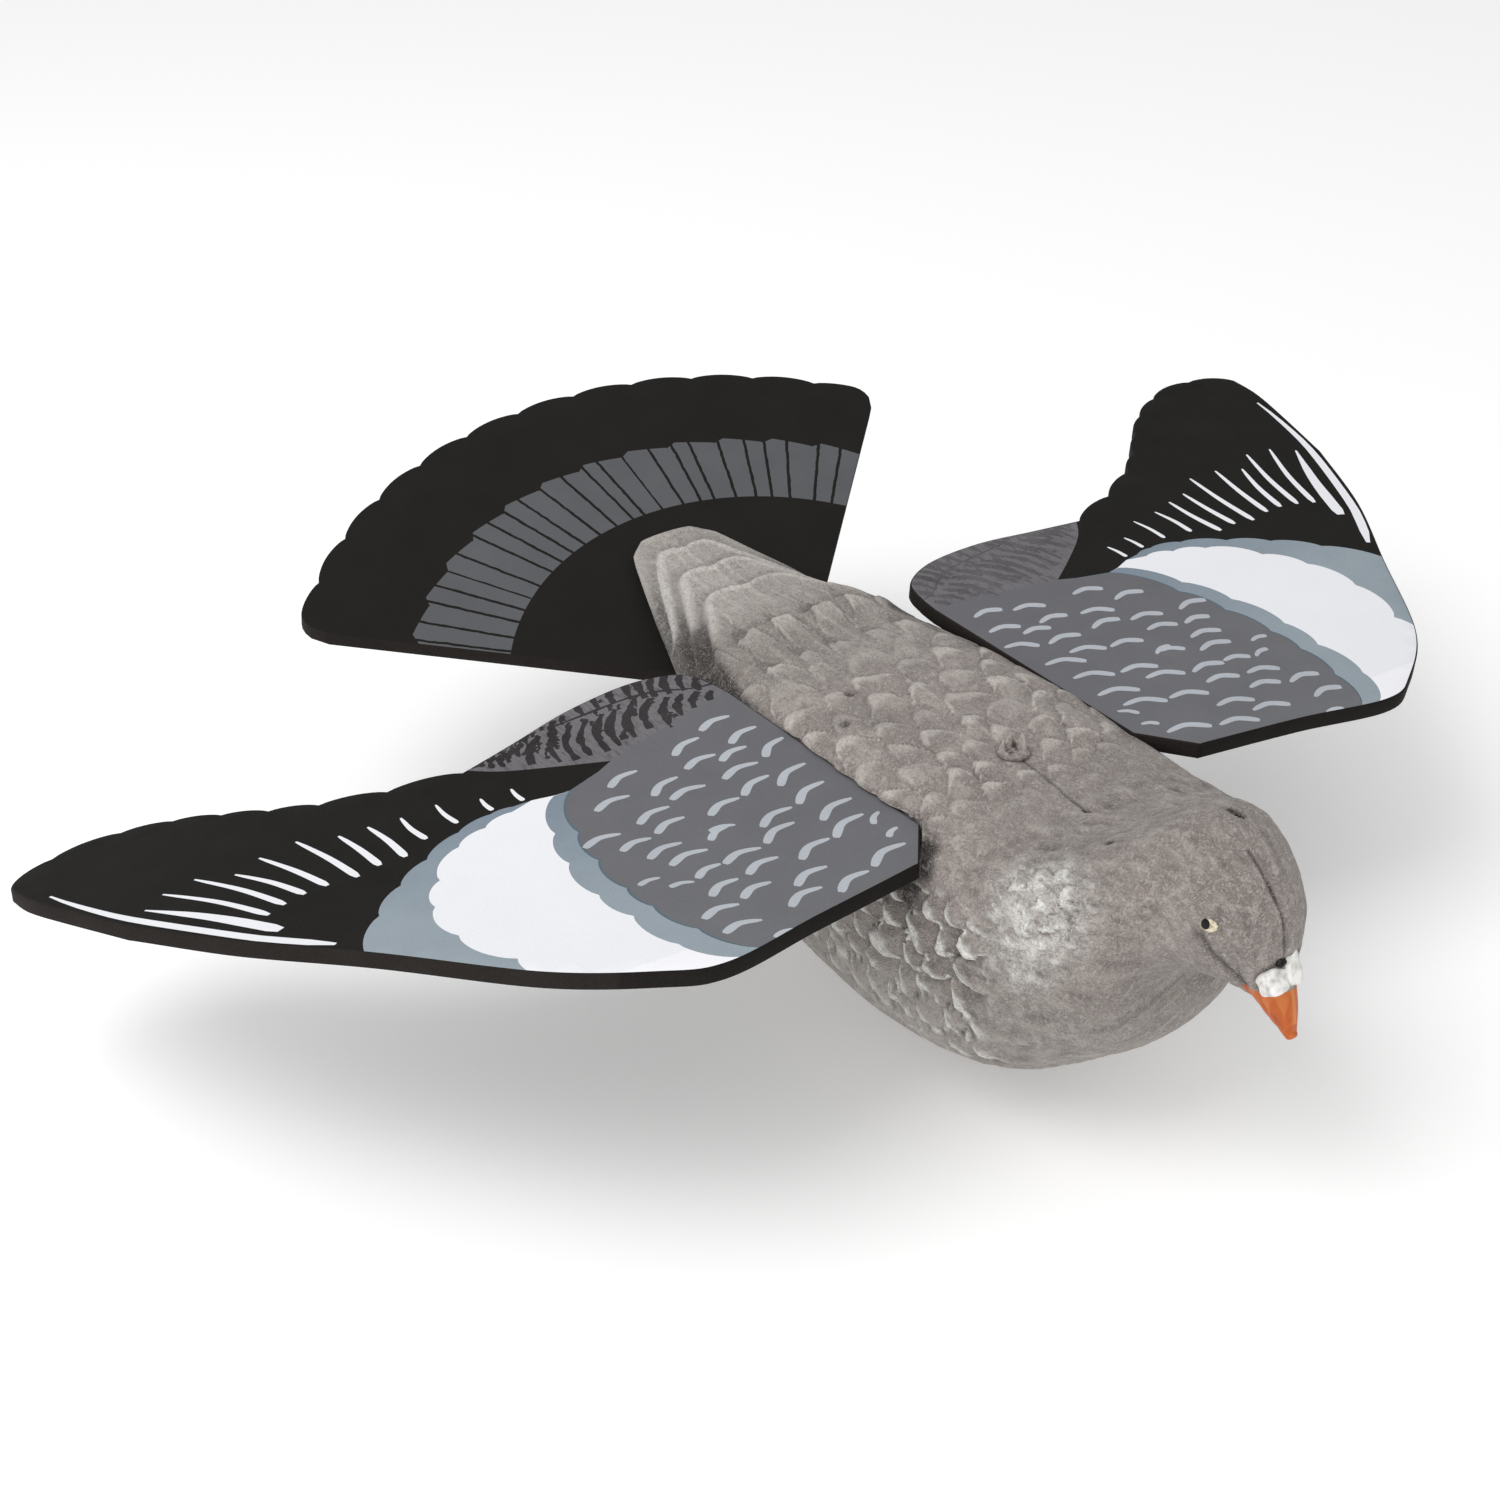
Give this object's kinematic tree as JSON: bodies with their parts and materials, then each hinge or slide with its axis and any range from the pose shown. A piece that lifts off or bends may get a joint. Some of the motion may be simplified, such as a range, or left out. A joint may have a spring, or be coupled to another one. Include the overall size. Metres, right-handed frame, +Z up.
{
  "type": "pigeon decoy",
  "caption": "Flying pigeon decoy: a flocked plastic bird body with printed foam wings spread to each side and a foam fan tail.",
  "frame": {"origin": "middle of the flat under the belly, on the surface that the decoy rests on", "axes": "+Z up, the bird faces -Y, its left wing reaches towards +X and its tail towards +Y"},
  "size_m": [0.5798, 0.4383, 0.1363],
  "materials": {
    "flocked_body": "flocked",
    "printed_foam": "matt printed closed-cell foam",
    "black_foam": "matt closed-cell foam"
  },
  "bodies": {
    "root": {"body": "flocked_body", "right_wing": "printed_foam", "left_wing": "printed_foam", "fan_tail": "black_foam"}
  },
  "joints": []
}
